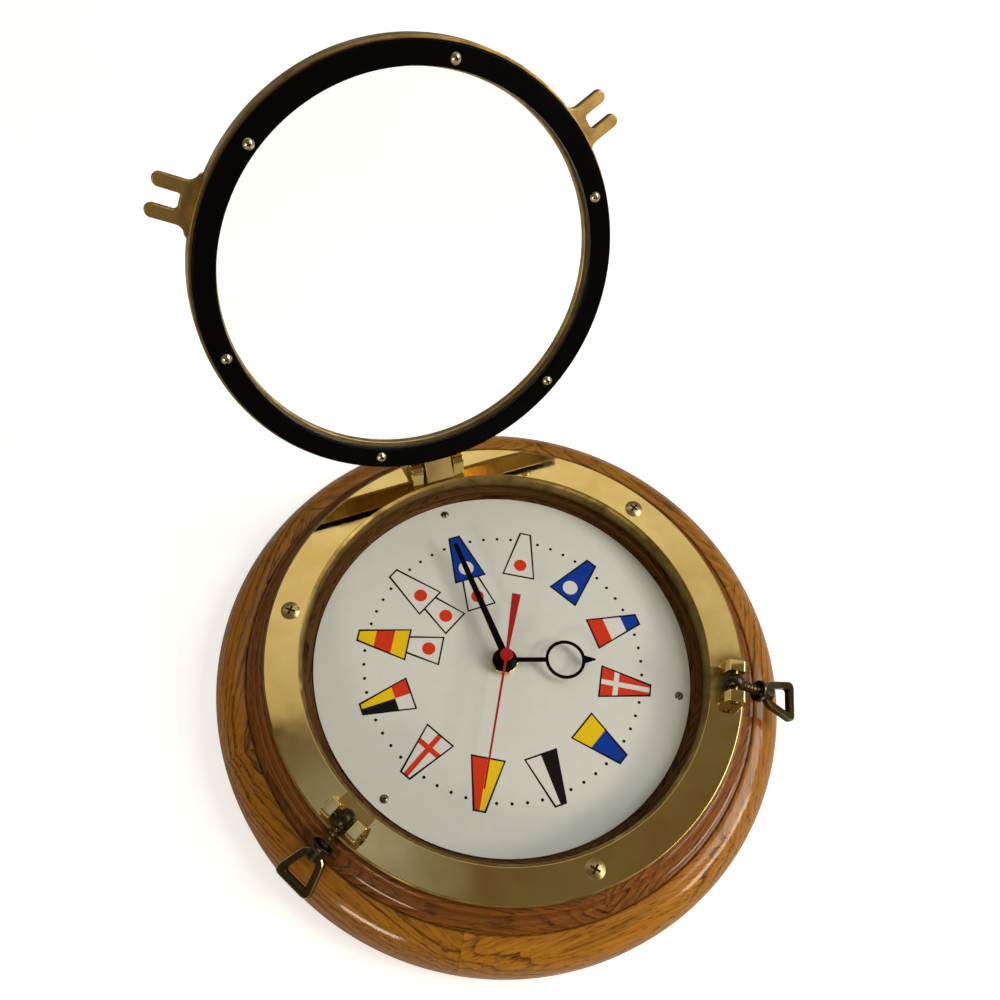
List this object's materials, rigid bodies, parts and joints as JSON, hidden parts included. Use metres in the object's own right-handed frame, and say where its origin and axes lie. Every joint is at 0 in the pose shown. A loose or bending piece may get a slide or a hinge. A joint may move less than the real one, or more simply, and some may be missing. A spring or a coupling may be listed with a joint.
{
  "type": "porthole clock",
  "caption": "Porthole wall clock: turned oak case, brass flange, hinged glazed window shut by drop-bolt dogs with hand nuts, white dial with signal pennants for hours, quartz movement.",
  "frame": {"origin": "centre of the flat back, on the back panel", "axes": "+Z out of the dial, +Y from the centre to the hinge at 12 o'clock, +X to 3 o'clock; the clock lies on its back with the window open on its stop"},
  "size_m": [0.3, 0.3673, 0.2465],
  "materials": {
    "oak": "clear gloss lacquer",
    "plywood": "bare",
    "steel": "zinc plated",
    "polished_brass": "polished and lacquered",
    "cast_brass": "satin, aged",
    "antique_brass": "dark antique, worn at the edges",
    "nickel_brass": "nickel plated",
    "nickel_steel": "nickel plated",
    "dial_enamel": "off-white enamel, printed",
    "black_lacquer": "gloss black",
    "red_lacquer": "gloss red",
    "glass": "clear float glass",
    "black_plastic": "moulded",
    "white_plastic": "moulded",
    "battery_sleeve": "printed sleeve",
    "board": "solder mask"
  },
  "bodies": {
    "case": {"oak_back_ring": "oak", "oak_front_ring": "oak", "back_panel": "plywood", "hanger_strip": "steel", "hanger_screw_1": "steel", "hanger_screw_2": "steel", "flange_ring": "polished_brass", "flange_screw_1": "polished_brass", "flange_screw_2": "polished_brass", "flange_screw_3": "polished_brass", "hinge_pin": "cast_brass", "dog_pin_left": "cast_brass", "dog_pin_right": "cast_brass", "dial_plate": "dial_enamel", "dial_screw_1": "nickel_brass", "dial_screw_2": "nickel_brass", "dial_screw_3": "nickel_brass", "movement_case": "black_plastic", "movement_cover": "black_plastic", "battery": "battery_sleeve", "battery_contact_plus": "nickel_steel", "battery_contact_minus": "nickel_steel", "step_motor": "white_plastic", "circuit_board": "board", "hand_washer": "polished_brass", "hand_fixing_nut": "polished_brass"},
    "window": {"window_frame": "cast_brass", "forked_ear_left": "cast_brass", "forked_ear_right": "cast_brass", "window_glass": "glass", "glass_retainer": "black_lacquer", "window_screw_1": "nickel_brass", "window_screw_2": "nickel_brass", "window_screw_3": "nickel_brass", "window_screw_4": "nickel_brass", "window_screw_5": "nickel_brass", "window_screw_6": "nickel_brass"},
    "dog_left": {"eye_bolt_left": "antique_brass"},
    "dog_right": {"eye_bolt_right": "antique_brass"},
    "nut_left": {"hand_nut_left": "antique_brass"},
    "nut_right": {"hand_nut_right": "antique_brass"},
    "minute": {"minute_hand": "black_lacquer", "minute_arbor": "white_plastic"},
    "hour": {"hour_hand": "black_lacquer", "hour_wheel": "white_plastic"},
    "second": {"second_hand": "red_lacquer", "second_arbor": "steel"},
    "motion": {"motion_wheel": "white_plastic"},
    "knob": {"set_knob": "black_plastic"}
  },
  "joints": [
    {"name": "window_hinge", "type": "hinge", "parent": "case", "child": "window", "pos_m": [0, 0.112, 0.0515], "axis": [1, 0, 0], "range_deg": [0, 118]},
    {"name": "dog_right_swing", "type": "hinge", "parent": "case", "child": "dog_right", "pos_m": [0.10242, -0.05446, 0.0486], "axis": [-0.4695, -0.8829, 0], "range_deg": [0, 115]},
    {"name": "hand_nut_right_spin", "type": "hinge", "parent": "dog_right", "child": "nut_right", "pos_m": [0.10242, -0.05446, 0.0486], "axis": [0.8002, -0.4255, -0.4226], "continuous": true},
    {"name": "dog_left_swing", "type": "hinge", "parent": "case", "child": "dog_left", "pos_m": [-0.10242, -0.05446, 0.0486], "axis": [-0.4695, 0.8829, 0], "range_deg": [0, 115]},
    {"name": "hand_nut_left_spin", "type": "hinge", "parent": "dog_left", "child": "nut_left", "pos_m": [-0.10242, -0.05446, 0.0486], "axis": [-0.8002, -0.4255, -0.4226], "continuous": true},
    {"name": "minute_hand_turn", "type": "hinge", "parent": "case", "child": "minute", "pos_m": [0, 0, 0.0345], "axis": [0, 0, -1], "continuous": true},
    {"name": "hour_hand_turn", "type": "hinge", "parent": "case", "child": "hour", "pos_m": [0, 0, 0.0306], "axis": [0, 0, -1], "continuous": true},
    {"name": "motion_wheel_turn", "type": "hinge", "parent": "case", "child": "motion", "pos_m": [0, -0.011, 0.0205], "axis": [0, 0, -1], "continuous": true},
    {"name": "set_knob_turn", "type": "hinge", "parent": "case", "child": "knob", "pos_m": [0, -0.022, 0.0125], "axis": [0, 0, -1], "continuous": true},
    {"name": "second_hand_turn", "type": "hinge", "parent": "case", "child": "second", "pos_m": [0, 0, 0.0385], "axis": [0, 0, -1], "continuous": true}
  ],
  "couplings": [
    {"joint": "hour_hand_turn", "follows": "minute_hand_turn", "ratio": 0.083333},
    {"joint": "motion_wheel_turn", "follows": "minute_hand_turn", "ratio": -0.33333},
    {"joint": "set_knob_turn", "follows": "minute_hand_turn", "ratio": 1}
  ]
}
